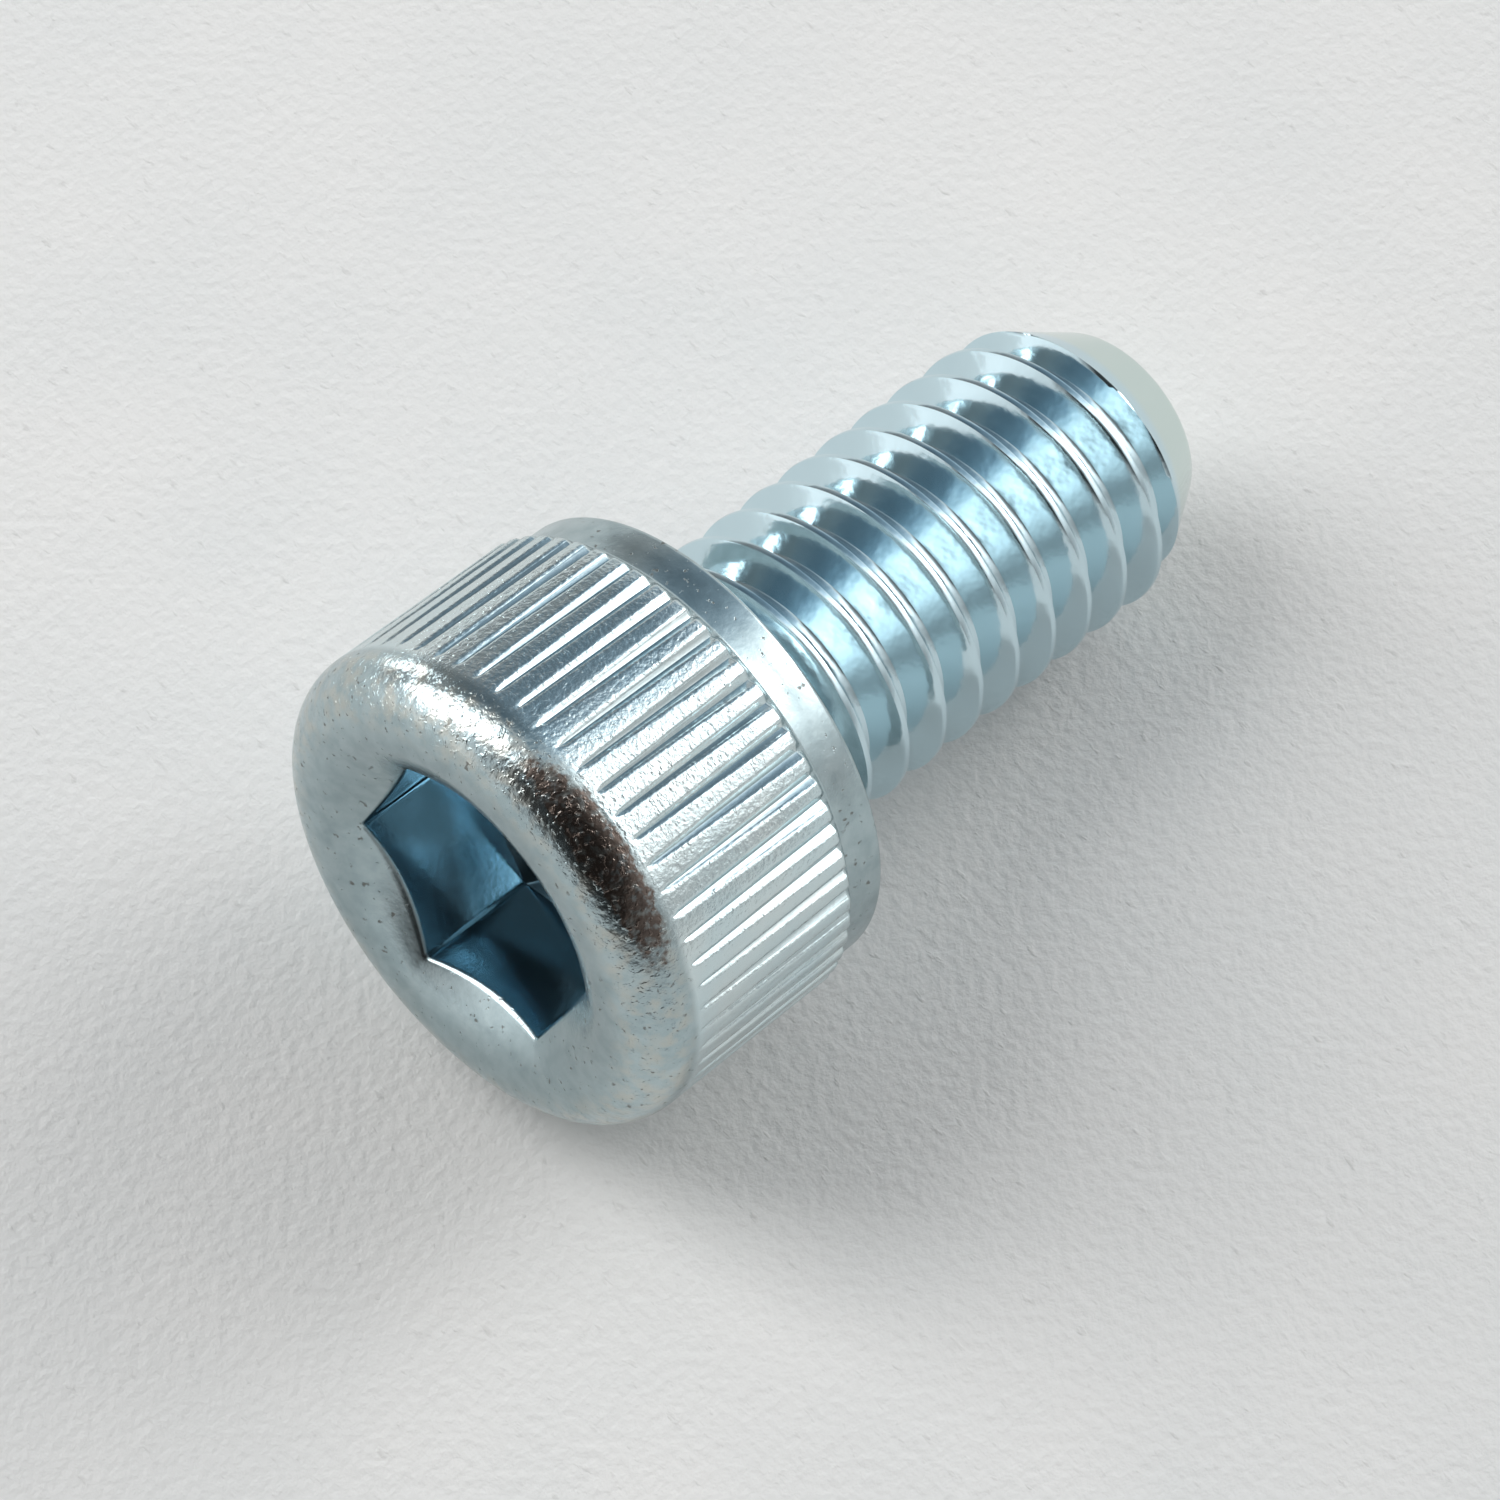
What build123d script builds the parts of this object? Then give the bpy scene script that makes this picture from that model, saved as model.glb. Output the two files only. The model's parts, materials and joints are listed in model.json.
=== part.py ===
from build123d import *
from math import atan2, cos, degrees, pi, radians, sin, tan
import os

# M6 x 12 hexagon socket head cap screw, knurled head, fully threaded, one piece of zinc-plated steel.
# All sizes are in millimetres. Distances along the screw run from the top of the head to the tip.

# Head
head_height = 6.0
knurl_diameter = 9.9            # over the lands
band_diameter = 9.5             # plain band beside the bearing face
band_length = 0.9
shoulder_length = 0.15          # slope from the knurl down to the band
crown_radius = 1.05             # rounded rim of the top
bearing_edge_radius = 0.12

# Knurl: straight V grooves pressed into the side of the head
groove_count = 60
groove_depth = 0.11
groove_angle = 95.0             # between the two flanks
groove_margin = 0.05            # plain strip between the crown and the grooves
groove_end_margin = 0.12        # plain strip between the grooves and the shoulder
groove_runout = 0.32            # length over which a groove rises to the surface at each end
first_groove_angle = 2.2        # from the top generator, about the axis

# Hexagon socket
socket_flats = 5.0              # across flats
socket_depth = 2.9              # to the end of the flats
socket_floor_angle = 150.0      # of the cone that the punch leaves under the flats
socket_floor_flat = 0.25        # diameter of the blunt end of that cone
socket_turn = 18.0              # a corner, from the top generator, about the axis
countersink_diameter = 7.0
countersink_angle = 120.0

# Shank
thread_diameter = 5.96          # over the crests of an M6 thread, pitch 1 mm
shank_length = 11.65            # bearing face to tip
neck_radius = 0.25              # fillet under the head
tip_length = 1.75               # tapered point, ahead of the full thread
tip_diameter = 4.2
tip_edge_radius = 0.2

# Places along the axis
knurl_end = head_height - band_length - shoulder_length
band_start = head_height - band_length
thread_end = head_height + shank_length - tip_length
tip_end = head_height + shank_length

# Radii
knurl_radius = knurl_diameter / 2
band_radius = band_diameter / 2
thread_radius = thread_diameter / 2
tip_radius = tip_diameter / 2

# The screw lies on its side: one circle of the head and the end of the full thread touch z = 0.
# Of the head's two possible circles, the one that leans the screw further is the one that touches.
head_circles = [(knurl_end, knurl_radius), (head_height - bearing_edge_radius, band_radius)]
lean = max(atan2(radius - thread_radius, thread_end - place) for place, radius in head_circles)
axis_height = thread_end * sin(lean) + thread_radius * cos(lean)

# Reach of the rounded crown along -X and of the rounded tip along +X from the centre of the head's
# top, each from the centre of its rounding. They put the middle of the whole length at x = 0.
crown_reach = crown_radius + (knurl_radius - crown_radius) * sin(lean) - crown_radius * cos(lean)
tip_taper = atan2(thread_radius - tip_radius, tip_length)
tip_centre_radius = tip_radius - tip_edge_radius * tan(pi / 4 - tip_taper / 2)
tip_reach = tip_edge_radius + tip_centre_radius * sin(lean) + (tip_end - tip_edge_radius) * cos(lean)
top_centre = ((crown_reach - tip_reach) / 2, 0, axis_height)

# Across the screw, seen from the top of the head: z runs to the tip and x to the top generator.
across = Plane(origin=top_centre, x_dir=(sin(lean), 0, cos(lean)), z_dir=(cos(lean), 0, -sin(lean)))
# Along the screw: x runs to the tip and y to the top generator.
along = Plane(origin=top_centre, x_dir=across.z_dir, z_dir=across.z_dir.cross(across.x_dir))

# One groove's cutter, standing on the XY plane with its axis on Z. Its edge rises clear of the
# surface at both ends, so each groove ends in a point.
groove_start = crown_radius + groove_margin
groove_end = knurl_end - groove_end_margin
groove_lift = groove_depth / 2
lift_length = groove_runout * groove_lift / groove_depth
groove_slope = tan(radians(groove_angle / 2))
groove_stations = [
    (groove_start - lift_length, -groove_lift),
    (groove_start + groove_runout, groove_depth),
    (groove_end - groove_runout, groove_depth),
    (groove_end + lift_length, -groove_lift),
]
cutter_top = knurl_radius + 2 * groove_lift

with BuildPart() as groove_cutter:
    for station, depth in groove_stations:
        edge = knurl_radius - depth
        half_width = (cutter_top - edge) * groove_slope
        with BuildSketch(Plane.XY.offset(station)):
            with BuildLine():
                Polyline((edge, 0), (cutter_top, half_width), (cutter_top, -half_width), close=True)
            make_face()
    loft(ruled=True)

with BuildPart() as cap_screw:
    # Head and shank are one turned outline.
    with BuildSketch(along):
        with BuildLine():
            FilletPolyline(
                (0, 0),
                (0, knurl_radius),
                (knurl_end, knurl_radius),
                (band_start, band_radius),
                (head_height, band_radius),
                (head_height, thread_radius),
                (thread_end, thread_radius),
                (tip_end, tip_radius),
                (tip_end, 0),
                radius=[0, crown_radius, 0, 0, bearing_edge_radius, neck_radius, 0, tip_edge_radius, 0],
                close=True,
            )
        make_face()
    revolve(axis=Axis(top_centre, across.z_dir))

    # Knurl
    with Locations(across):
        with PolarLocations(0, groove_count, start_angle=first_groove_angle):
            add(groove_cutter.part, mode=Mode.SUBTRACT)

    # Hexagon socket, with the cone that its punch leaves
    with BuildSketch(across):
        RegularPolygon(socket_flats / 2, 6, major_radius=False, rotation=socket_turn)
    extrude(amount=socket_depth, mode=Mode.SUBTRACT)
    with BuildSketch(across.offset(socket_depth)):
        Circle(socket_flats / 2)
    cone_depth = (socket_flats - socket_floor_flat) / 2 / tan(radians(socket_floor_angle / 2))
    extrude(amount=cone_depth, taper=socket_floor_angle / 2, mode=Mode.SUBTRACT)

    # Countersunk mouth
    mouth_depth = (countersink_diameter - socket_flats) / 2 / tan(radians(countersink_angle / 2))
    with BuildSketch(across):
        Circle(countersink_diameter / 2)
    extrude(amount=mouth_depth, taper=countersink_angle / 2, mode=Mode.SUBTRACT)

cap_screw.part.label = "cap_screw"
os.makedirs("parts", exist_ok=True)
export_step(cap_screw.part, "parts/cap_screw.step")

box = cap_screw.part.bounding_box()
print("lean", round(degrees(lean), 3), "degrees, axis height", round(axis_height, 3))
print("box", box.min, box.max, "volume", round(cap_screw.part.volume, 2))
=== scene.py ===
# %% [markdown]
# # A socket head cap screw
# The real thing is one piece of steel wire, headed and punched cold, knurled, rolled to a thread
# and plated with zinc. Here it is one closed mesh too. Its solid model is the frame: it says where
# the screw lies and how large it is, and everything below takes its sizes and places from it.

# %% Load the frame
import json
from math import atan, cos, degrees, hypot, pi, radians, sin, tan

import bmesh
import bpy
from mathutils import Matrix, Vector


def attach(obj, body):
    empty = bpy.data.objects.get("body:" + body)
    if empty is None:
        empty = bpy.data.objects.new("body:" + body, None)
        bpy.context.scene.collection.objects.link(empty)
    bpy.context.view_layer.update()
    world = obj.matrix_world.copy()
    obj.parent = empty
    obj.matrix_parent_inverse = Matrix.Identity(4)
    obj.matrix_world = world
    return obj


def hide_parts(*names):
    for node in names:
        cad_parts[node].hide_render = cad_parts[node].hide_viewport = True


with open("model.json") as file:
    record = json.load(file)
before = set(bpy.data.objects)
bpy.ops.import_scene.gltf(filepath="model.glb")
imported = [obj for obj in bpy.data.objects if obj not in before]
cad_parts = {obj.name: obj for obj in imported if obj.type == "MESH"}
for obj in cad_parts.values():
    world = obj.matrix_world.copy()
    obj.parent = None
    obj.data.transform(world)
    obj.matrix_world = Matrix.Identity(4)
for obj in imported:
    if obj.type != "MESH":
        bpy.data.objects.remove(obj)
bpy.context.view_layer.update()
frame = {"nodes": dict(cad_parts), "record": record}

MM = 0.001
DEGREE = pi / 180
node = frame["nodes"]["cap_screw"]
mounts = {mount["name"]: mount for mount in frame["record"]["mounts"]}

# %% [markdown]
# ## The screw's own directions
# A screw is easiest to think of along its axis, from the top of the head to the tip. On its side it
# leans, so its axis isn't level. Three directions are worked out from the mounts of the solid
# model: along the axis, from the axis to the top line of the screw, and sideways. Together with the
# middle of the head's top they make one matrix, which lays a screw that is modelled upright, with
# its axis on Z, where the solid model lies.

# %% Directions and sizes from the solid model
top_centre = Vector(mounts["key_socket"]["pos_m"])
axis = Vector(mounts["shank"]["axis"]).normalized()
top_line = (Vector((0, 0, 1)) - axis * axis.z).normalized()
sideways = axis.cross(top_line)

lay_down = Matrix((top_line, sideways, axis)).transposed().to_4x4()
lay_down.translation = top_centre

own_points = [lay_down.inverted() @ vertex.co for vertex in node.data.vertices]
head_radius = max(hypot(point.x, point.y) for point in own_points)
head_height = (Vector(mounts["bearing_face"]["pos_m"]) - top_centre).dot(axis)
tip_end = max(point.z for point in own_points)
crest_radius = mounts["shank"]["dims"]["r_mm"] * MM
shank_middle = (Vector(mounts["shank"]["pos_m"]) - top_centre).dot(axis)
taper_start = shank_middle + mounts["shank"]["dims"]["length_mm"] * MM / 2

print("head radius and height, mm:", round(head_radius / MM, 3), round(head_height / MM, 3))
print("taper from", round(taper_start / MM, 3), "to", round(tip_end / MM, 3), "mm along the axis")

# %% [markdown]
# ## Arithmetic with nodes
# Both the shape and the finish of the screw follow rules, such as how deep a groove is at a given
# angle. In Blender such rules are nodes, and a rule of ten terms is ten nodes and their links. The
# class below wraps one output of a node, so that the rule can be written as a Python expression,
# and each operation adds its node.

# %% A value that nodes work out
class Value:
    """One output socket, for use in expressions. Each operation adds a node to the same tree."""

    def __init__(self, tree, socket):
        self.tree = tree
        self.socket = socket

    def math(self, operation, *others):
        return add_node(self.tree, "ShaderNodeMath", {"operation": operation}, (self, *others))

    def __add__(self, other):
        return self.math("ADD", other)

    def __sub__(self, other):
        return self.math("SUBTRACT", other)

    def __rsub__(self, other):
        return add_node(self.tree, "ShaderNodeMath", {"operation": "SUBTRACT"}, (other, self))

    def __mul__(self, other):
        return self.math("MULTIPLY", other)

    def __truediv__(self, other):
        return self.math("DIVIDE", other)

    def __rtruediv__(self, other):
        return add_node(self.tree, "ShaderNodeMath", {"operation": "DIVIDE"}, (other, self))

    def __mod__(self, other):
        return self.math("FLOORED_MODULO", other)

    __radd__ = __add__
    __rmul__ = __mul__


def add_node(tree, kind, settings=None, inputs=(), output=0):
    """Add a node, make its settings, then fill its sockets, given in order or by name."""
    new = tree.nodes.new(kind)
    for name, setting in (settings or {}).items():
        setattr(new, name, setting)
    named = inputs.items() if isinstance(inputs, dict) else enumerate(inputs)
    for name, given in named:
        if isinstance(given, Value):
            tree.links.new(given.socket, new.inputs[name])
        elif given is not None:
            new.inputs[name].default_value = given
    return Value(tree, new.outputs[output])


def ramp_up(value, low, high):
    """0 below low, 1 above high, and straight between them."""
    settings = {"clamp": True}
    return add_node(value.tree, "ShaderNodeMapRange", settings, (value, low, high, 0.0, 1.0))


def ramp_down(value, low, high):
    """1 below low, 0 above high, and straight between them."""
    return 1 - ramp_up(value, low, high)


# %% [markdown]
# ## Outlines
# A lathe makes a head or a tip from its outline. An outline here is a row of points, each a radius
# and a place along the axis. Round corners are arcs worked out from their radius, and soft ones
# bend from one point to another, pulled towards a third. Where the surface is worked on later, by
# the knurl or the thread, the outline has as many points as that work needs.

# %% Points of an outline
def arc(centre_radius, centre_along, radius, start, end, steps):
    """Points on an arc. At 0 degrees it faces away from the axis, and at 90 towards the tip."""
    turns = [radians(start + (end - start) * step / steps) for step in range(steps + 1)]
    return [(centre_radius + radius * cos(turn), centre_along + radius * sin(turn)) for turn in turns]


def straight(start, end, steps):
    """Points on a straight line, with its end and without its start."""
    shares = [step / steps for step in range(1, steps + 1)]
    return [tuple(a + (b - a) * share for a, b in zip(start, end)) for share in shares]


def bend(start, corner, end, steps):
    """Points of a soft corner, with its end and without its start."""
    points = []
    for step in range(1, steps + 1):
        share = step / steps
        near, middle, far = (1 - share) ** 2, 2 * share * (1 - share), share ** 2
        points.append(tuple(near * a + middle * b + far * c for a, b, c in zip(start, corner, end)))
    return points


def outline_object(name, points, marks):
    """A mesh of single points for an outline, with a number on each point for every mark."""
    mesh = bpy.data.meshes.new(name)
    mesh.from_pydata([(radius, 0.0, along) for radius, along in points], [], [])
    for mark, numbers in marks.items():
        mesh.attributes.new(mark, "FLOAT", "POINT").data.foreach_set("value", numbers)
    made = bpy.data.objects.new(name, mesh)
    bpy.context.scene.collection.objects.link(made)
    return made


# %% [markdown]
# ## A lathe in Geometry Nodes
# Blender's Screw modifier could spin an outline, but the knurl, the hexagon and the thread all have
# to know the angle of each point. So the tree makes a flat grid, with a column for each angle and a
# row for each point of the outline, and works out where each point of the grid goes. The rules for
# knurl, hexagon and thread change the radius before the grid is rolled up, and merging by distance
# closes the seam.

# %% The tree and its grid
def new_tree(name, sizes):
    """A Geometry Nodes tree with named inputs for its sizes. Returns the tree and their values."""
    tree = bpy.data.node_groups.new(name, "GeometryNodeTree")
    tree.interface.new_socket("Outline", in_out="INPUT", socket_type="NodeSocketGeometry")
    tree.interface.new_socket("Skin", in_out="OUTPUT", socket_type="NodeSocketGeometry")
    for size in sizes:
        tree.interface.new_socket(size, in_out="INPUT", socket_type="NodeSocketFloat")
    entry = tree.nodes.new("NodeGroupInput")
    tree.nodes.new("NodeGroupOutput")
    return tree, {socket.name: Value(tree, socket) for socket in entry.outputs if socket.name}


def outline_grid(tree, outline, columns):
    """A grid with a row for each point of the outline, and a reader for what is on those points."""
    rows = add_node(tree, "GeometryNodeAttributeDomainSize", {"component": "MESH"}, (outline,))
    counts = {"Vertices X": columns + 1, "Vertices Y": rows}
    grid = add_node(tree, "GeometryNodeMeshGrid", inputs=counts)
    index = add_node(tree, "GeometryNodeInputIndex")

    # A division can come out a hair too small, so it is nudged by much less than one row.
    nudge = 1 / 8192
    column = (index / rows + nudge).math("FLOOR")
    row = index - column * rows

    def read(kind, value):
        settings = {"data_type": kind, "domain": "POINT"}
        inputs = {"Geometry": outline, "Value": value, "Index": row}
        return add_node(tree, "GeometryNodeSampleIndex", settings, inputs)

    return grid, column, read


def outline_place(tree, read):
    """The radius of a point of the outline, and its place along the axis."""
    place = read("FLOAT_VECTOR", add_node(tree, "GeometryNodeInputPosition"))
    radius = add_node(tree, "ShaderNodeSeparateXYZ", inputs=(place,), output="X")
    along = add_node(tree, "ShaderNodeSeparateXYZ", inputs=(place,), output="Z")
    return radius, along


def marked(tree, read, mark):
    """The number that a point of the outline has for a mark."""
    settings, inputs = {"data_type": "FLOAT"}, {"Name": mark}
    return read("FLOAT", add_node(tree, "GeometryNodeInputNamedAttribute", settings, inputs))


# %% [markdown]
# Rolled up, each point of the grid stands at its angle. The depth of the grooves is kept on the
# points too, because the finish will need to know what is a groove and what isn't.

# %% Rolling up the grid
weld_gap = 0.0005 * MM


def roll_up(tree, grid, angle, radius, along, groove, finish):
    """Put each point of the grid at its angle, in degrees, its radius and its place on the axis."""
    turn = angle * DEGREE
    spot = (radius * turn.math("COSINE"), radius * turn.math("SINE"), along)
    place = add_node(tree, "ShaderNodeCombineXYZ", inputs=spot)
    skin = add_node(tree, "GeometryNodeSetPosition", inputs={"Geometry": grid, "Position": place})

    settings = {"data_type": "FLOAT", "domain": "POINT"}
    inputs = {"Geometry": skin, "Name": "groove", "Value": groove}
    skin = add_node(tree, "GeometryNodeStoreNamedAttribute", settings, inputs)
    inputs = {"Geometry": skin, "Distance": weld_gap}
    skin = add_node(tree, "GeometryNodeMergeByDistance", inputs=inputs)
    skin = add_node(tree, "GeometryNodeRealizeInstances", inputs=(skin,))
    inputs = {"Geometry": skin, "Material": finish}
    skin = add_node(tree, "GeometryNodeSetMaterial", inputs=inputs)
    output = next(each for each in tree.nodes if each.bl_idname == "NodeGroupOutput")
    tree.links.new(skin.socket, output.inputs[0])


def made_by(tree, outline, sizes):
    """Run a tree on an outline with its sizes, and return the plain mesh that it makes."""
    modifier = outline.modifiers.new(tree.name, "NODES")
    modifier.node_group = tree
    for item in tree.interface.items_tree:
        if item.in_out == "INPUT" and item.name in sizes:
            modifier[item.identifier] = float(sizes[item.name])
    graph = bpy.context.evaluated_depsgraph_get()
    mesh = bpy.data.meshes.new_from_object(outline.evaluated_get(graph))
    bpy.data.objects.remove(outline)
    print(tree.name + ":", len(tree.nodes), "nodes,", len(mesh.polygons), "faces")
    return mesh


# %% [markdown]
# ## The head
# The blank of the head is turned in one outline: the floor of the socket, its wall, the countersunk
# mouth, the flat ring, the rounded crown, the side, the slope down to the plain band, and the
# bearing face under the head. The hexagon and the grooves are rules that move this outline in and
# out, depending on the angle. The floor is a shallow cone, as the punch leaves it.

# %% Sizes of the head
crown_radius = 1.05 * MM
band_radius = 4.75 * MM
band_start = head_height - 0.9 * MM
bearing_edge = 0.12 * MM
neck_radius = 2.675 * MM
neck_fillet = 0.4 * MM

flats_radius = 2.5 * MM
flats_depth = 2.9 * MM
floor_depth = flats_depth + flats_radius / tan(radians(75))
mouth_radius = 3.5 * MM
mouth_slope = tan(radians(30))
mouth_depth = (mouth_radius - flats_radius) * mouth_slope
print("socket", round(flats_depth / MM, 2), "mm deep, its cone", round(mouth_depth / MM, 2), "mm")

knurl_start = crown_radius + 0.05 * MM
knurl_end = band_start - 0.15 * MM
groove_end = band_start - 0.02 * MM
groove_runout = 0.25 * MM
print("grooves from", round(knurl_start / MM, 2), "to", round(groove_end / MM, 2), "mm")

# %% [markdown]
# A punched socket isn't sharp: its wall meets the countersink in a small round lip, and that lip
# catches the light, so it gets its own bend. So do the rim where the countersink meets the flat
# ring, the shoulder at the end of the knurl, and the foot of the slope.

# %% Outline of the head
lip = 0.12 * MM
lip_start = (flats_radius, mouth_depth + lip)
lip_end = (flats_radius + lip, mouth_depth - lip * mouth_slope)
rim, rim_rise = 0.35 * MM, 0.1 * MM
rim_bend = (mouth_radius - rim, rim * mouth_slope - rim_rise)
ring_start = (mouth_radius + 0.15 * MM, 0.0)

floor_middle = (0.0, floor_depth)
wall_start = (flats_radius, flats_depth)
floor_points = [floor_middle] + straight(floor_middle, wall_start, 3)[:-1]
wall_points = [wall_start] + straight(wall_start, lip_start, 2)
wall_points += bend(lip_start, (flats_radius, mouth_depth), lip_end, 4)
wall_points += bend(lip_end, rim_bend, ring_start, 5)

shoulder = 0.04 * MM
shoulder_end = (head_radius - 0.05 * MM, knurl_end + shoulder)
foot_start = (band_radius + 0.03 * MM, band_start - 0.02 * MM)
foot_end = (band_radius, band_start + 0.05 * MM)
edge_start = head_height - bearing_edge

side_points = arc(head_radius - crown_radius, crown_radius, crown_radius, -90, 0, 12)
side_points += straight(side_points[-1], (head_radius, knurl_start), 1)
side_points += straight(side_points[-1], (head_radius, knurl_start + groove_runout), 4)
side_points += straight(side_points[-1], (head_radius, knurl_end - shoulder), 6)
side_points += bend(side_points[-1], (head_radius, knurl_end), shoulder_end, 2)
side_points += [foot_start] + bend(foot_start, (band_radius, band_start), foot_end, 2)
side_points += straight(side_points[-1], (band_radius, edge_start), 2)
side_points += arc(band_radius - bearing_edge, edge_start, bearing_edge, 0, 90, 4)[1:]
side_points += straight(side_points[-1], (neck_radius + neck_fillet, head_height), 3)

head_points = floor_points + wall_points + side_points
floor_count, wall_count, side_count = len(floor_points), len(wall_points), len(side_points)
head_marks = {
    "in_floor": [1.0] * floor_count + [0.0] * (wall_count + side_count),
    "in_wall": [0.0] * floor_count + [1.0] * wall_count + [0.0] * side_count,
    "joint": [0.0] * (len(head_points) - 1) + [1.0],
}
print("outline of the head:", len(head_points), "points")

# %% [markdown]
# ## The hexagon and the knurl
# The wall of a hexagon stands at half the width across flats, divided by the cosine of the angle
# from the middle of the flat. The countersink is a cone, so where the wall stands further out, at
# the corners, it meets the cone higher up: that is what draws the six curved edges at the mouth.
#
# The grooves of the knurl are straight Vs with a round bottom, sixty of them. Each starts in a fine
# point at the crown, gets deeper and wider along the side, and runs out over the slope before the
# plain band. No two are pressed to quite the same depth.

# %% The rule of the head
head_sizes = {
    "Columns per Groove": 12,
    "Columns per Shank Column": 3,
    "Grooves": 60,
    "First Groove": 2.0,
    "Groove Depth": 0.11 * MM,
    "Depth Spread": 0.3,
    "Groove Half Width": 0.13 * MM,
    "Groove Bottom": 0.02 * MM,
    "Groove Start": knurl_start,
    "Groove End": groove_end,
    "Groove Run-out": groove_runout,
    "Socket Turn": 18.0,
    "Flats Radius": flats_radius,
    "Flats Depth": flats_depth,
    "Corner Radius": 1.148 * flats_radius,
    "Corner Ease": 0.03 * MM,
    "Mouth Radius": mouth_radius,
    "Mouth Slope": mouth_slope,
    "Head Radius": head_radius,
}
flat_angle = 60
groove_seed = 7
rise_at_start, rise_along = 0.35, 0.65
fall_at_end = 0.3


def hexagon(size, angle, radius, along, in_wall, in_floor):
    """Move the turned wall and floor of the socket out to the hexagon, and the wall up its cone."""
    flats, mouth, depth = size["Flats Radius"], size["Mouth Radius"], size["Flats Depth"]
    from_middle = (angle - size["Socket Turn"]) % flat_angle - flat_angle / 2
    wall = flats / (from_middle * DEGREE).math("COSINE")
    wall = wall.math("SMOOTH_MIN", size["Corner Radius"], size["Corner Ease"])
    squeeze = (mouth - wall) / (mouth - flats)
    in_cone = (mouth - flats) * size["Mouth Slope"]
    risen = along.math("MINIMUM", in_cone * (depth - along) / (depth - in_cone))
    wall_radius = mouth - squeeze * (mouth - radius)
    floor_radius = radius * wall / flats
    radius = radius + in_wall * (wall_radius - radius) + in_floor * (floor_radius - radius)
    return radius, along - in_wall * (1 - squeeze) * risen


def knurl(tree, size, angle, along):
    """The depth of the grooves of the knurl."""
    step = 360 / size["Grooves"]
    turned = (angle - size["First Groove"]) / step + 0.5
    across = (turned % 1 - 0.5).math("ABSOLUTE") * step * DEGREE * size["Head Radius"]
    number = turned.math("FLOOR") % size["Grooves"]
    settings, inputs = {"noise_dimensions": "1D"}, {"W": number + groove_seed}
    chance = add_node(tree, "ShaderNodeTexWhiteNoise", settings, inputs)
    deepest = size["Groove Depth"] * (1 + (chance - 0.5) * size["Depth Spread"])
    slope = size["Groove Depth"] / size["Groove Half Width"]

    runout = size["Groove Run-out"]
    from_start = (along - size["Groove Start"]) / runout
    from_end = (size["Groove End"] - along) / (runout * fall_at_end)
    whole_length = (size["Groove End"] - size["Groove Start"]) / runout
    rising = from_start.math("MINIMUM", 1.0) * rise_at_start
    rising = rising + from_start / whole_length * rise_along
    pressed = rising.math("MINIMUM", from_end).math("MAXIMUM", 0.0)
    bottom = size["Groove Bottom"]
    blunt = (across * across + bottom * bottom).math("SQRT")
    return (deepest * pressed - slope * (blunt - bottom)).math("MAXIMUM", 0.0)


def head_tree(finish):
    """The tree that makes the head: the lathe, with the rules of the hexagon and the knurl."""
    tree, size = new_tree("Knurled head with a hexagon socket", head_sizes)
    columns = size["Columns per Groove"] * size["Grooves"]
    grid, column, read = outline_grid(tree, size["Outline"], columns)
    radius, along = outline_place(tree, read)
    marks = ("in_wall", "in_floor", "joint")
    in_wall, in_floor, joint = (marked(tree, read, mark) for mark in marks)

    # The last row has a point for every third column only, because the shank has fewer columns.
    snapped = column.math("SNAP", size["Columns per Shank Column"]) * joint + column * (1 - joint)
    angle = snapped * 360 / columns
    radius, along = hexagon(size, angle, radius, along, in_wall, in_floor)
    groove = knurl(tree, size, angle, along) * (1 - in_wall) * (1 - in_floor)
    roll_up(tree, grid, angle, radius - groove, along, groove / size["Groove Depth"], finish)
    return tree


print(head_sizes["Grooves"], "grooves, socket turned", head_sizes["Socket Turn"], "degrees")

# %% [markdown]
# ## The shank
# The shank is threaded along its whole length, apart from a short neck under the head that the
# rolling dies can't reach. Its outline has three stretches: the fillet and the neck, the thread, and
# the taper at the tip. Only the middle one follows the thread. Its rows crowd at the crests and the
# roots, where the skin bends most, and there are rows exactly on the crests, so that edges of the
# mesh draw the edges of the thread. Three more rows in each turn lie just on the head's side of a
# crest, where the taper cuts the last one.

# %% Outline of the shank
pitch = 1.0 * MM
half_turn_rows = [0.0, 0.06, 0.085, 0.11, 0.235, 0.36, 0.38, 0.40, 0.43]
taper_rows = [0.80, 0.83, 0.86]
turn_rows = half_turn_rows + [0.5] + [1 - place for place in reversed(half_turn_rows[1:])]
turn_rows = sorted(turn_rows + taper_rows)
rows_per_pitch = len(turn_rows)
spare_rows = 2

first_crest = head_height + 1.32 * MM
thread_start = head_height + neck_fillet
thread_stop = taper_start + pitch
tip_radius = 1.97 * MM
tip_slope = (crest_radius - tip_radius) / (tip_end - taper_start)
tip_edge = 0.36 * MM


def thread_place(row):
    """Place along the axis of a row that follows the thread."""
    turn, step = divmod(row, rows_per_pitch)
    return first_crest + pitch * (turn + turn_rows[step])


first_row = int((thread_start - pitch - first_crest) / pitch * rows_per_pitch) - spare_rows
last_row = int((thread_stop - first_crest) / pitch * rows_per_pitch) + spare_rows
thread_points = [(crest_radius, thread_place(row)) for row in range(first_row, last_row + 1)]

fillet_centre = (neck_radius + neck_fillet, head_height + neck_fillet)
neck_points = arc(*fillet_centre, neck_fillet, -90, -180, 6)

taper_angle = atan(tip_slope)
edge_centre = (tip_radius - tip_edge * tan(pi / 4 - taper_angle / 2), tip_end - tip_edge)
tip_edge_points = arc(*edge_centre, tip_edge, degrees(taper_angle), 90, 6)
cone_start = (crest_radius - tip_slope * (thread_stop - taper_start), thread_stop)
tip_points = straight(cone_start, tip_edge_points[0], 5)
tip_points += tip_edge_points[1:]
tip_points += straight(tip_points[-1], (0.0, tip_end), 4)

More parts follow.
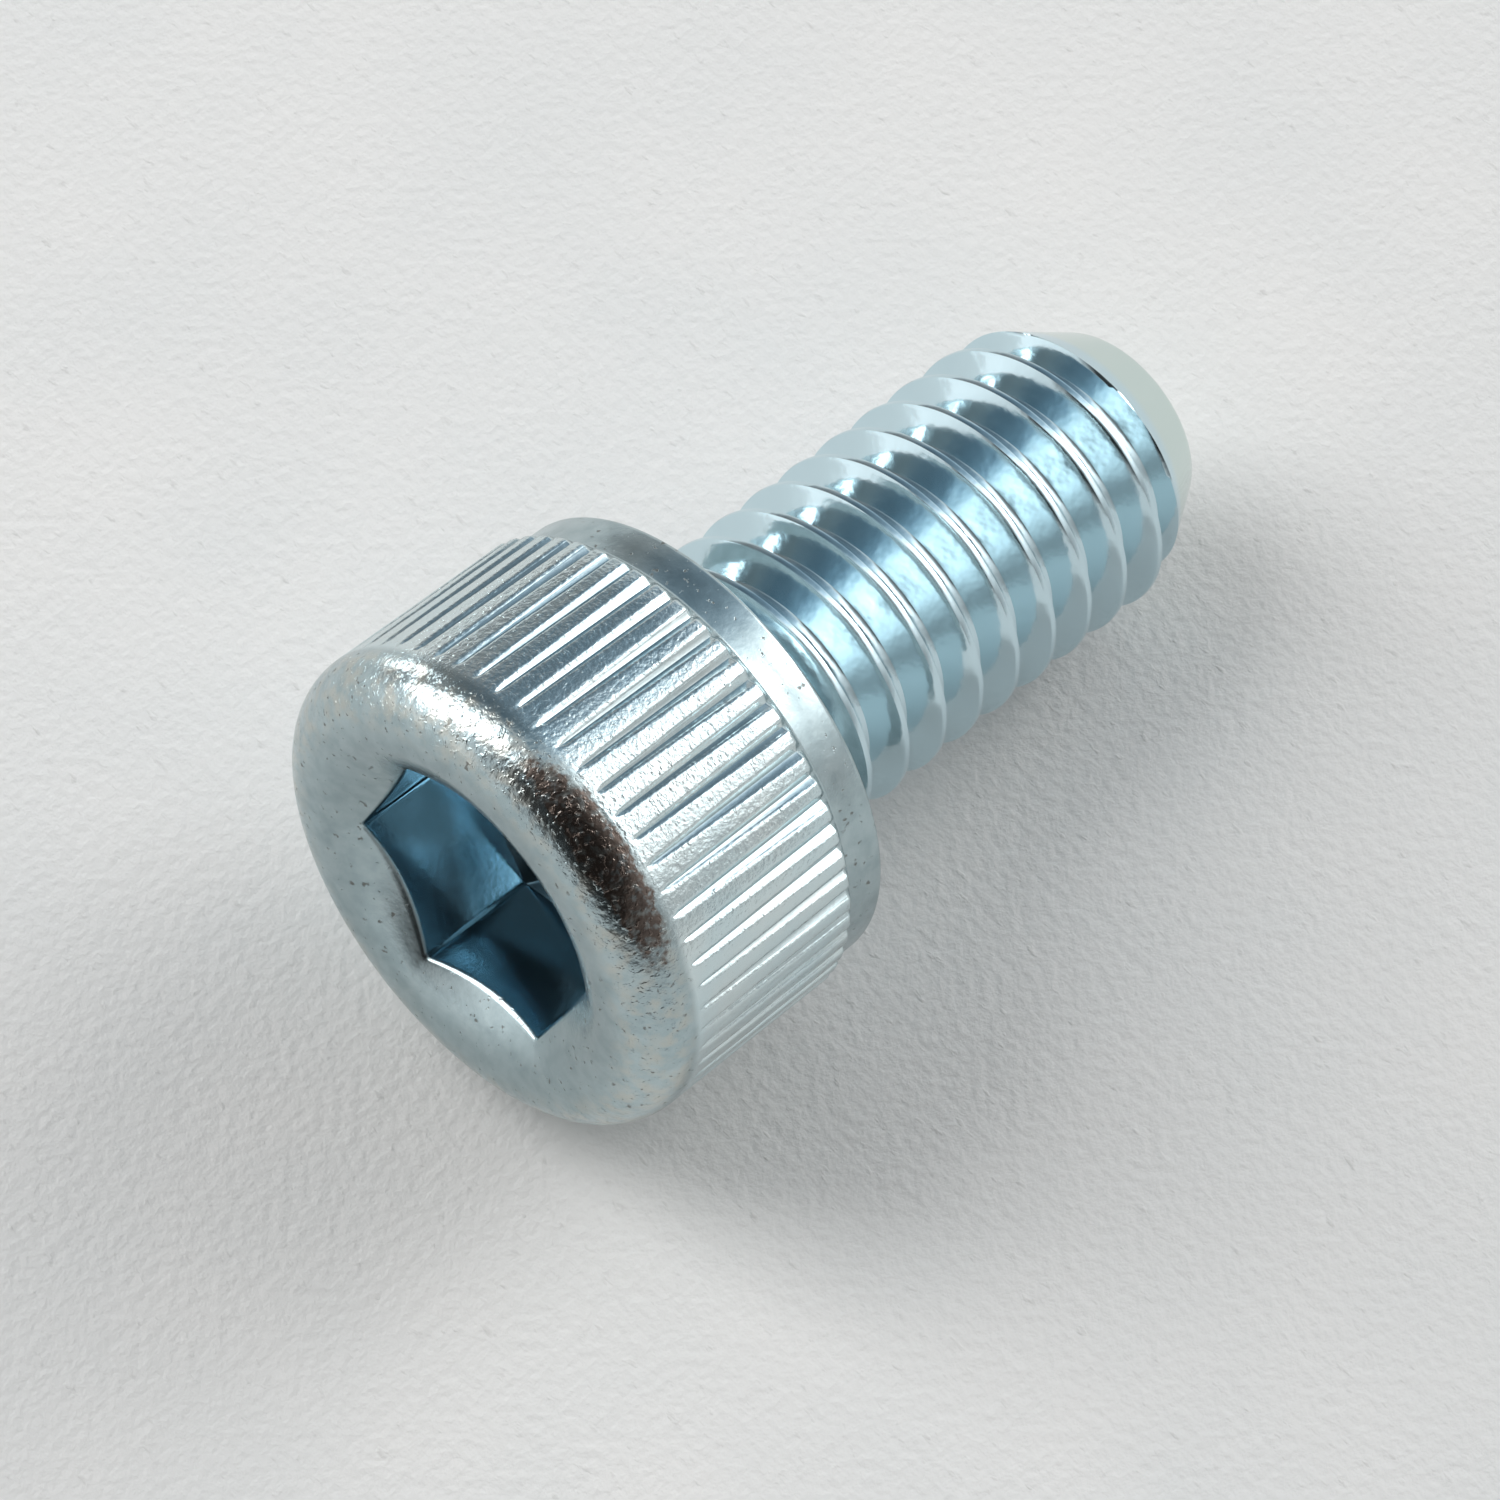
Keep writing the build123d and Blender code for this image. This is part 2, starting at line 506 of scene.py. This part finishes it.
neck_count, thread_count, tip_count = len(neck_points), len(thread_points), len(tip_points)
shank_points = neck_points + thread_points + tip_points
shank_marks = {"threaded": [0.0] * neck_count + [1.0] * thread_count + [0.0] * tip_count}
print("thread rows:", thread_count, "tip rows:", tip_count)

# %% [markdown]
# ## The thread
# A helical sweep would be the obvious way to make a thread, but its ends have to be cut and closed
# by hand. Here each point of the grid asks how far it is, along the axis, from the nearest crest,
# and the crest moves along by one pitch in a turn. Level rows would be crossed by the crests, which
# would look like a saw, so the rows climb too. Where the grid closes, each row then meets the row one
# pitch further on. At both ends of the thread the rows are held at a plane, where they meet the
# level rings of the neck and the tip.
#
# The thread is rolled, not cut, so its roots are round and its crests eased. The taper was rolled
# with it: towards the tip the cone cuts the thread away, and the last groove runs out within part of
# a turn, until the plain cone is left.

# %% The rule of the thread
thread_sizes = {
    "Columns": 240,
    "Pitch": pitch,
    "First Crest": first_crest,
    "Crest Radius": crest_radius,
    "Crest Width": 0.12 * MM,
    "Crest Ease": 0.06 * MM,
    "Flank Slope": tan(radians(60)),
    "Thread Depth": 0.595 * MM,
    "Root Ease": 0.03 * MM,
    "Thread Start": thread_start,
    "Thread Stop": thread_stop,
    "Run-in Turns": 0.7,
    "Full Turns": 8.85,
    "Run-out Turns": 0.4,
    "Neck Radius": neck_radius,
    "Taper Start": taper_start,
    "Taper Slope": tip_slope,
    "Taper Ease": 0.02 * MM,
}


def thread_cut(size, angle, along):
    """The depth of the thread below its crests, from the distance to the nearest crest."""
    turns = (along - size["First Crest"]) / size["Pitch"] - angle / 360
    from_crest = ((turns + 0.5) % 1 - 0.5).math("ABSOLUTE") * size["Pitch"]
    flank = (from_crest - size["Crest Width"] / 2) * size["Flank Slope"]
    cut = flank.math("SMOOTH_MAX", 0.0, size["Crest Ease"])
    groove_turns = turns.math("FLOOR") + 0.5 + angle / 360
    full = size["Full Turns"]
    deepest = size["Thread Depth"] * ramp_down(groove_turns, full, full + size["Run-out Turns"])
    return cut.math("SMOOTH_MIN", deepest, size["Root Ease"]).math("MAXIMUM", 0.0)


def thread_tree(finish):
    """The tree that makes the shank: the lathe, with the rule of the thread."""
    tree, size = new_tree("Thread and tapered tip", thread_sizes)
    grid, column, read = outline_grid(tree, size["Outline"], size["Columns"])
    plain_radius, along = outline_place(tree, read)
    threaded = marked(tree, read, "threaded")
    angle = column * 360 / size["Columns"]

    # The rows climb one pitch in a turn, and stop at the planes where the thread starts and stops.
    start, stop = size["Thread Start"], size["Thread Stop"]
    climbed = along + size["Pitch"] * angle / 360
    climbed = climbed.math("MAXIMUM", start).math("MINIMUM", stop)
    along = along + threaded * (climbed - along)

    cut = thread_cut(size, angle, along)
    cone = size["Crest Radius"] - (along - size["Taper Start"]) * size["Taper Slope"]
    radius = (size["Crest Radius"] - cut).math("SMOOTH_MIN", cone, size["Taper Ease"])
    fade_in = ramp_up(along, start, start + size["Run-in Turns"] * size["Pitch"])
    radius = size["Neck Radius"] + fade_in * (radius - size["Neck Radius"])
    radius = plain_radius + threaded * (radius - plain_radius)
    roll_up(tree, grid, angle, radius, along, cut / size["Thread Depth"] * threaded, finish)
    return tree


print("pitch", round(pitch / MM, 2), "mm,", thread_sizes["Full Turns"], "full turns")

# %% [markdown]
# ## Zinc plating
# The screw is plated with a few thousandths of a millimetre of zinc and dipped in a clear passivate.
# Zinc is a pale grey metal, and the film of passivate turns what it reflects a little blue. Between
# the turns of the thread and inside the socket light is reflected two or three times before it
# leaves, so there the blue is deep. Between the turns that isn't painted on: with Metallic at 1 the
# shader multiplies each reflection by Base Color, and the path tracer does the rest. Inside the
# socket the colour is also painted darker and bluer, as painted shade. What has to be written is the
# colour of one reflection, and how smooth the skin is in each place.
#
# All patterns are laid out in the screw's own directions and in millimetres, so that a scale of 10
# means about ten features in a millimetre. A Mapping node of the Texture kind undoes the matrix
# that lays the screw down.

# %% Places and patterns for a material
def own_place(tree):
    """A point's place in the screw's own directions, in mm from the middle of the head's top."""
    point = add_node(tree, "ShaderNodeTexCoord", output="Object")
    inputs = (point, lay_down.translation, lay_down.to_euler(), (MM, MM, MM))
    return add_node(tree, "ShaderNodeMapping", {"vector_type": "TEXTURE"}, inputs)


def noise(place, scale, seed, detail=3.0, stretch=(1.0, 1.0, 1.0)):
    """Noise around 0.5, with about as many features in one unit as its scale says."""
    tree = place.tree
    stretched = add_node(tree, "ShaderNodeVectorMath", {"operation": "MULTIPLY"}, (place, stretch))
    settings = {"noise_dimensions": "4D"}
    inputs = {"Vector": stretched, "W": seed, "Scale": scale, "Detail": detail}
    return add_node(tree, "ShaderNodeTexNoise", settings, inputs)


def mixed(share, start, end):
    """The colour from start to end at a share from 0 to 1."""
    inputs = {0: share, 6: start, 7: end}
    return add_node(share.tree, "ShaderNodeMix", {"data_type": "RGBA"}, inputs, 2)


def bumped(height, to_normal):
    """Bump from a height in mm, given to a shader's normal."""
    inputs = {"Strength": 1.0, "Distance": MM, "Height": height}
    normal = add_node(height.tree, "ShaderNodeBump", inputs=inputs)
    height.tree.links.new(normal.socket, to_normal)


def new_material(name):
    """A material, its tree and the sockets of its shader."""
    material = bpy.data.materials.new(name)
    material.use_nodes = True
    tree = material.node_tree
    return material, tree, tree.nodes["Principled BSDF"].inputs


# %% [markdown]
# The skin differs from place to place. The flat ring and the crown kept the satin of the die that
# punched them. The lands of the knurl are coarser, the flanks of its grooves were pressed smooth by
# the wheel, and rolling left the flanks of the thread the smoothest of all. Each region is a share
# from 0 to 1, worked out from a point's distance from the axis and its place along it. Where two
# regions meet, one fades into the other over about a tenth of a millimetre or more.

# %% Regions of the skin
def skin_regions(tree, radius, along):
    """How much a point belongs to each region of the skin, from its place in mm."""
    groove = add_node(tree, "ShaderNodeAttribute", {"attribute_name": "groove"}, output="Fac")
    before_band = ramp_down(along, 4.9, 5.0)
    below_cone = along - (mouth_radius / MM - radius) * mouth_slope

    thread = ramp_up(along, 6.0, 6.1)
    tip = ramp_up(along, 16.4, 16.6)
    socket = ramp_up(below_cone, 0.03, 0.12) * ramp_down(radius, 3.0, 3.1) * before_band
    crown = ramp_up(radius, 3.8, 4.3) * ramp_down(along, 0.8, 1.1)
    knurled = ramp_up(along, 1.0, 1.15) * before_band * ramp_up(radius, 4.5, 4.6)
    pressed = ramp_up(groove, 0.05, 0.35) * knurled
    land = knurled * (1 - pressed)
    face = (1 - thread) * (1 - socket) * (1 - knurled)
    return {
        "thread": thread,
        "tip": tip,
        "socket": socket,
        "crown": crown,
        "pressed": pressed,
        "land": land,
        "face": face,
    }


# %% [markdown]
# On one side of the crown a brown-black patch is painted: a painted dark reflection of the shaded
# side of the room, and the skin is a little rougher there. On a rounded rim a patch is easiest to
# place by two angles: one round the axis, and one over the crown, from the flat ring to the side.
# Measured from its middle in half widths, the patch ends at a distance of about one, and noise
# makes that edge ragged.

# %% The painted dark reflection on the crown
crown_middle, crown_round = 3.9, 1.05
reflection_around, reflection_around_half = 32, 27
reflection_over, reflection_over_half = 67, 25


def painted_reflection_patch(place, x, y, radius, along, skin):
    """How much of the painted dark reflection a point of the crown has."""
    around = y.math("ARCTAN2", x) * (1 / DEGREE)
    over = (radius - crown_middle).math("ARCTAN2", crown_round - along) * (1 / DEGREE)
    around = (around - reflection_around) / reflection_around_half
    over = (over - reflection_over) / reflection_over_half
    ragged = noise(place, scale=4.5, seed=71.0, detail=4.0) - 0.5
    painted_reflection = ramp_down((around * around + over * over).math("SQRT") + ragged * 1.1, 0.85, 0.98)
    return painted_reflection * (1 - skin["thread"]) * (1 - skin["socket"]) * ramp_down(along, 1.15, 1.3)


# %% [markdown]
# The colours are those of one reflection, so most are pale. Large clouds lie over everything. The
# head outside the knurl and the socket is painted darker all over, as painted shade, and a little
# more so in worn patches. The socket is painted darker still, as painted shade, and the crown has
# a painted dark reflection and a few yellowish stains where the rinse dried. Small pits are nearly
# black. Each colour is mixed over the ones before it.

# %% Colours of the zinc
plated_zinc = (0.68, 0.77, 0.78, 1.0)
cool_zinc = (0.63, 0.76, 0.79, 1.0)
# Painted shade: the head outside the knurl and the socket is painted this darker colour.
shaded_face_zinc = (0.37, 0.462, 0.485, 1.0)
stained_zinc = (0.60, 0.57, 0.49, 1.0)
rolled_zinc = (0.61, 0.77, 0.83, 1.0)
tip_zinc = (0.66, 0.77, 0.74, 1.0)
# Painted shade: the socket is painted darker and bluer than the plated zinc.
shaded_socket_zinc = (0.40, 0.535, 0.60, 1.0)
pit_brown = (0.16, 0.15, 0.13, 1.0)
# Brown-black of the painted dark reflection on the crown.
painted_reflection_brown = (0.17, 0.13, 0.11, 1.0)


def zinc_colour(place, skin, pits, painted_reflection):
    """The colour that one reflection takes on."""
    clouds = ramp_up(noise(place, scale=0.9, seed=3.0), 0.35, 0.65)
    worn = ramp_up(noise(place, scale=3.2, seed=17.0, detail=5.0), 0.38, 0.66)
    stained = ramp_up(noise(place, scale=3.0, seed=53.0), 0.44, 0.62) * skin["crown"]
    reflection_mottle = ramp_up(noise(place, scale=8.0, seed=73.0), 0.36, 0.5)

    colour = mixed(clouds, plated_zinc, cool_zinc)
    # Painted shade over the head's face, a little deeper where the noise says it is worn.
    colour = mixed(skin["face"] * (0.7 + worn * 0.3), colour, shaded_face_zinc)
    colour = mixed(stained * 0.5, colour, stained_zinc)
    colour = mixed(skin["thread"], colour, rolled_zinc)
    colour = mixed(skin["tip"], colour, tip_zinc)
    # Painted shade in the socket: its colour is made darker than the zinc's.
    colour = mixed(skin["socket"], colour, shaded_socket_zinc)
    colour = mixed(pits * 0.75, colour, pit_brown)
    # Last, the painted dark reflection on the crown, mottled by noise.
    return mixed(painted_reflection * (0.45 + reflection_mottle * 0.5), colour, painted_reflection_brown)


# %% [markdown]
# Roughness says how sharp the reflections are, and the bump how much they wobble. The crown is
# covered with small lumps and pimples, the lands with a coarse grain, and the thread has slow waves
# from the rolling. The heights are in millimetres: a hundredth of one is a lot on polished metal.

# %% Smoothness and small unevenness of the zinc
def zinc_roughness(place, skin, pits, painted_reflection):
    """How rough the skin is: 0 would be a mirror."""
    smears = noise(place, scale=1.6, seed=23.0, detail=4.0) - 0.5
    roughness = 0.24 + smears * 0.10 + pits * 0.2 + painted_reflection * 0.08
    roughness = roughness - skin["crown"] * 0.04 - skin["land"] * 0.05 - skin["pressed"] * 0.08
    return roughness - skin["thread"] * 0.11 - skin["socket"] * 0.10


def zinc_height(place, skin, pits):
    """The height of the skin's small unevenness, in mm."""
    crown, land, thread = skin["crown"], skin["land"], skin["thread"]
    lumps = noise(place, scale=5.0, seed=31.0, detail=2.0) * (0.003 + crown * 0.014)
    lumps = lumps * (1 - thread * 0.7) * (1 - skin["socket"] * 0.7)
    pimples = ramp_up(noise(place, scale=10.0, seed=41.0, detail=2.0), 0.57, 0.71)
    pimples = pimples * (land * 0.4 + crown) * 0.009
    grain_height = 0.0025 + land * 0.015 + crown * 0.006 - thread * 0.0018
    grain = noise(place, scale=10.0, seed=37.0) * grain_height
    waves = noise(place, scale=2.2, seed=61.0, detail=2.0) * thread * 0.012
    return lumps + grain + waves + pimples - pits * 0.004


def zinc_finish():
    """The finish of the whole screw."""
    material, tree, shader = new_material("zinc_plating")
    place = own_place(tree)
    sides = [add_node(tree, "ShaderNodeSeparateXYZ", inputs=(place,), output=side) for side in "XYZ"]
    x, y, along = sides
    radius = (x * x + y * y).math("SQRT")
    skin = skin_regions(tree, radius, along)
    pits = ramp_up(noise(place, scale=7.0, seed=11.0, detail=5.0), 0.63, 0.69) * skin["face"]
    # The brown-black patch on the crown is a painted dark reflection.
    painted_reflection = painted_reflection_patch(place, x, y, radius, along, skin)

    shader["Metallic"].default_value = 1.0
    colour = zinc_colour(place, skin, pits, painted_reflection)
    tree.links.new(colour.socket, shader["Base Color"])
    roughness = zinc_roughness(place, skin, pits, painted_reflection)
    tree.links.new(roughness.socket, shader["Roughness"])
    bumped(zinc_height(place, skin, pits), shader["Normal"])
    return material


zinc = zinc_finish()
print("zinc:", len(zinc.node_tree.nodes), "nodes")

# %% [markdown]
# ## Putting the screw together
# The head ends where the shank begins, at the root of the small fillet under the head, and both
# have the same points there. Joined and merged, they are one closed skin. Smooth shading would
# blur the sharp edges of the grooves and the socket, so edges that turn more than 38 degrees are
# marked sharp.

# %% The screw
sharp_turn = radians(38)
join_gap = 0.001 * MM

head_outline = outline_object("head_outline", head_points, head_marks)
head_mesh = made_by(head_tree(zinc), head_outline, head_sizes)
shank_outline = outline_object("shank_outline", shank_points, shank_marks)
shank_mesh = made_by(thread_tree(zinc), shank_outline, thread_sizes)

whole = bmesh.new()
for mesh in (head_mesh, shank_mesh):
    whole.from_mesh(mesh)
bmesh.ops.remove_doubles(whole, verts=whole.verts, dist=join_gap)
bmesh.ops.recalc_face_normals(whole, faces=whole.faces)
for face in whole.faces:
    face.smooth = True
for edge in whole.edges:
    edge.smooth = edge.calc_face_angle(pi) < sharp_turn
open_edges = sum(not edge.is_manifold for edge in whole.edges)
triangles = sum(len(face.verts) - 2 for face in whole.faces)
print("volume, mm3:", round(whole.calc_volume(signed=True) / MM ** 3, 2))
print("open edges:", open_edges, "triangles:", triangles)

whole.transform(lay_down)
screw_mesh = bpy.data.meshes.new("screw")
whole.to_mesh(screw_mesh)
whole.free()
screw_mesh.materials.clear()
screw_mesh.materials.append(zinc)
screw = bpy.data.objects.new("screw", screw_mesh)
bpy.context.scene.collection.objects.link(screw)
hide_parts("cap_screw")
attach(screw, "root")

# %% [markdown]
# ## The floor
# The screw lies on a sheet of plain pale paper. It is large enough to fill the view from low
# angles too. Its grain is a fine bump, and its colour varies a little, because an even floor would
# make the sharp reflections in the metal look drawn.

# %% Floor
warm_paper = (0.80, 0.795, 0.78, 1.0)
cool_paper = (0.765, 0.77, 0.76, 1.0)
fibre_grey = (0.45, 0.44, 0.42, 1.0)
floor_reach = 1.5


def paper_finish():
    """Pale uncoated paper with a fine tooth."""
    material, tree, shader = new_material("pale_paper")
    shader["Roughness"].default_value = 0.9
    shader["Specular IOR Level"].default_value = 0.2

    point = add_node(tree, "ShaderNodeTexCoord", output="Object")
    inputs = {"Vector": point, "Scale": (MM, MM, MM)}
    place = add_node(tree, "ShaderNodeMapping", {"vector_type": "TEXTURE"}, inputs)
    clouds = ramp_up(noise(place, scale=0.25, seed=5.0), 0.3, 0.7)
    fibres = ramp_up(noise(place, scale=5.0, seed=7.0, stretch=(1.0, 0.45, 1.0)), 0.62, 0.72)
    colour = mixed(fibres * 0.2, mixed(clouds, warm_paper, cool_paper), fibre_grey)
    tree.links.new(colour.socket, shader["Base Color"])
    tooth = noise(place, scale=4.0, seed=13.0, detail=5.0) * 0.05 + fibres * 0.008
    bumped(tooth, shader["Normal"])
    return material


left, right = -floor_reach, floor_reach
corners = [(left, left, 0), (right, left, 0), (right, right, 0), (left, right, 0)]
floor_mesh = bpy.data.meshes.new("floor")
floor_mesh.from_pydata(corners, [], [(0, 1, 2, 3)])
floor = bpy.data.objects.new("floor", floor_mesh)
bpy.context.scene.collection.objects.link(floor)
floor_mesh.materials.append(paper_finish())
print("floor:", 2 * floor_reach, "m square")

# %% [markdown]
# ## Directions in the room
# The camera and the lamps face the screw from all round, so each of their places is easiest to give
# as two angles and a distance: how far round from X, and how far up from the floor.

# %% A direction from two angles
def toward(around, up):
    """The direction at an angle round from X and an angle up from the floor, in degrees."""
    around, up = radians(around), radians(up)
    return Vector((cos(around) * cos(up), sin(around) * cos(up), sin(up)))


# %% [markdown]
# ## The camera
# The screw is small, so the camera stands close, ten centimetres away, and looks down on it from the
# side of the head. A long lens keeps the head from looking much larger than the tip. The near limit
# of what the camera sees is five millimetres, because Blender's usual ten centimetres would cut the
# screw away.

# %% Camera
camera_direction = toward(225.077, 61.745)
camera_distance = 102.57 * MM
aim = Vector((-0.266, 0.896, 0.0)) * MM

camera = bpy.data.objects.new("camera", bpy.data.cameras.new("camera"))
camera.data.sensor_width = 36.0
camera.data.lens = 127.66
camera.data.clip_start = 0.005
camera.data.clip_end = 10.0
camera.location = aim + camera_direction * camera_distance
camera.rotation_euler = (-camera_direction).to_track_quat("-Z", "Y").to_euler()
bpy.context.scene.collection.objects.link(camera)
bpy.context.scene.camera = camera
print("camera, mm:", [round(side / MM, 1) for side in camera.location])

# %% [markdown]
# ## The lamps
# Polished metal shows its surroundings, so here the light is mostly a matter of what the screw
# can see. A large soft window stands on one side, a smaller lamp on the other, and a small dim one
# near the floor, on the window's side.

# %% Lamps
lamp_distance = 0.5


def soft_light(name, direction, width, height, roll, power):
    """A flat light that faces the screw, with its sizes in metres and its roll in degrees."""
    light = bpy.data.lights.new(name, "AREA")
    light.shape = "RECTANGLE"
    light.size, light.size_y = width, height
    light.energy = power
    lamp = bpy.data.objects.new(name, light)
    lamp.location = direction * lamp_distance
    facing = (-direction).to_track_quat("-Z", "Y").to_matrix()
    lamp.rotation_euler = (facing @ Matrix.Rotation(radians(roll), 3, "Z")).to_euler()
    bpy.context.scene.collection.objects.link(lamp)
    print(name + ":", power, "W")


soft_light("window", toward(117, 42), width=0.27, height=0.45, roll=0, power=1.5)
soft_light("side_lamp", toward(-12, 24), width=0.28, height=0.17, roll=-35, power=0.8)
soft_light("low_lamp", toward(80, 9), width=0.14, height=0.14, roll=0, power=0.28)

# %% [markdown]
# ## The room
# Between the lamps the room is pale and uneven. The world is that room. It is a sum of soft glows,
# each brightest in one direction, and a pale band all round at the height of the horizon. Two wide
# shades lie on the camera's side, where someone stands in the light: without that dark the screw
# would look like plaster. A third one, weaker and bluish, lies past the tip.

# %% Room
dimmest = 0.09
glows = [
    # direction, sharpness and strength of each
    (toward(-28, 42), 10.0, 2.6),
    (toward(138, 15), 7.0, 1.0),
    (toward(80, 72), 7.0, 0.5),
    (toward(25, 15), 12.0, 0.8),
    (toward(180, 0), 9.0, 0.1),
    (toward(-85, 45), 3.0, 0.3),
]
band_sharpness, band_strength = 8, 0.3
shades = [
    # direction, how far from it each is full and has ended, in degrees, and what it takes away
    (toward(205, 42), 30, 42, 0.9),
    (toward(280, 62), 25, 37, 0.86),
    (toward(36, 42), 12, 30, 0.62),
]
plain_light = (1.0, 1.0, 1.0, 1.0)
bluish_light = (0.72, 0.98, 1.2, 1.0)


def room_light():
    """The pale room all round, as the world's light."""
    world = bpy.data.worlds.new("room")
    world.use_nodes = True
    tree = world.node_tree
    view = add_node(tree, "ShaderNodeTexCoord", output="Generated")

    def nearness(direction):
        """1 in a direction, 0 square to it, and -1 opposite."""
        settings = {"operation": "DOT_PRODUCT"}
        return add_node(tree, "ShaderNodeVectorMath", settings, (view, direction), "Value")

    room = dimmest
    for direction, sharpness, strength in glows:
        room = room + ((nearness(direction) - 1) * sharpness).math("EXPONENT") * strength
    above = nearness((0.0, 0.0, 1.0)) * band_sharpness
    room = room + (above * above * -1).math("EXPONENT") * band_strength
    for direction, full, none, strength in shades:
        shade = ramp_up(nearness(direction), cos(radians(none)), cos(radians(full)))
        room = room * (1 - shade * strength)

    # The last shade is the bluish one.
    colour = mixed(shade, plain_light, bluish_light)
    background = tree.nodes["Background"]
    tree.links.new(colour.socket, background.inputs["Color"])
    tree.links.new(room.socket, background.inputs["Strength"])
    return world


bpy.context.scene.world = room_light()
bpy.context.scene.view_settings.view_transform = "Standard"
print("room:", len(glows), "glows,", len(shades), "shades")
